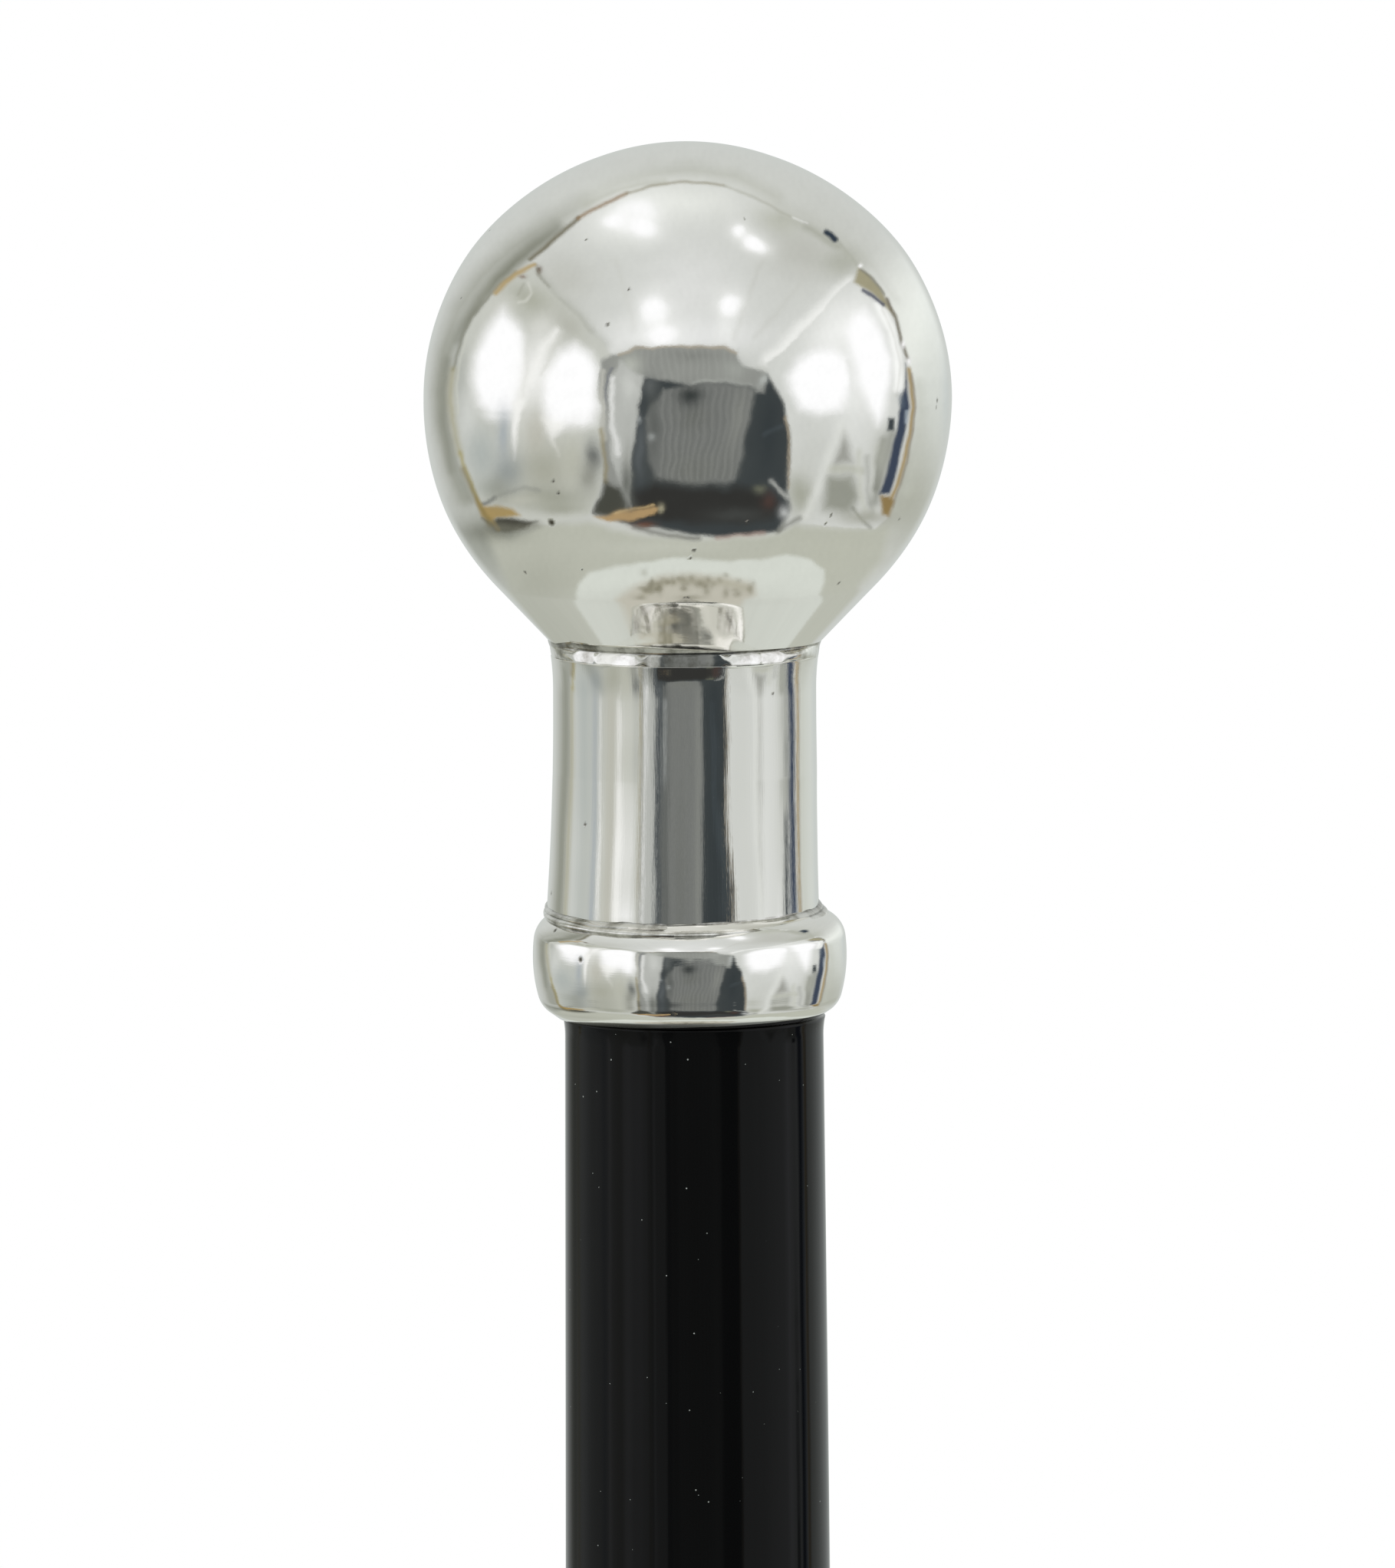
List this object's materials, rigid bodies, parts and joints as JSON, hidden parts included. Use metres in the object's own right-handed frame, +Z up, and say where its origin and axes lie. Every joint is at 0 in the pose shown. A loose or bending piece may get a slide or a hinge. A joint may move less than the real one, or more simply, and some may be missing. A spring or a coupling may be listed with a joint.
{
  "type": "knob handle walking stick",
  "caption": "Straight walking stick with a plated round knob on a waisted neck and beaded collar, a black lacquered shaft and a push-on rubber tip.",
  "frame": {"origin": "centre of the rubber tip's tread, on the floor the stick stands on", "axes": "+Z up along the stick's axis, from the foot to the knob; the stick is round about it"},
  "size_m": [0.037, 0.037, 0.93],
  "materials": {
    "silver_plate": "hand polished",
    "solder": "as flowed",
    "black_lacquered_beech": "high gloss lacquer",
    "cast_resin": "as cast",
    "steel": "zinc plated",
    "black_rubber": "moulded matt"
  },
  "bodies": {
    "stick": {"shaft": "black_lacquered_beech", "collar_bead": "silver_plate", "lower_solder_ring": "solder", "neck_sleeve": "silver_plate", "upper_solder_ring": "solder", "knob_ball": "silver_plate", "knob_filler": "cast_resin", "anchor_washer": "steel", "anchor_nut": "steel", "handle_stud": "steel"},
    "tip": {"rubber_tip": "black_rubber", "tip_disc": "steel"}
  },
  "joints": [
    {"name": "tip_pull", "type": "slide", "parent": "stick", "child": "tip", "axis": [0, 0, -1], "range_m": [0, 0.031]}
  ]
}
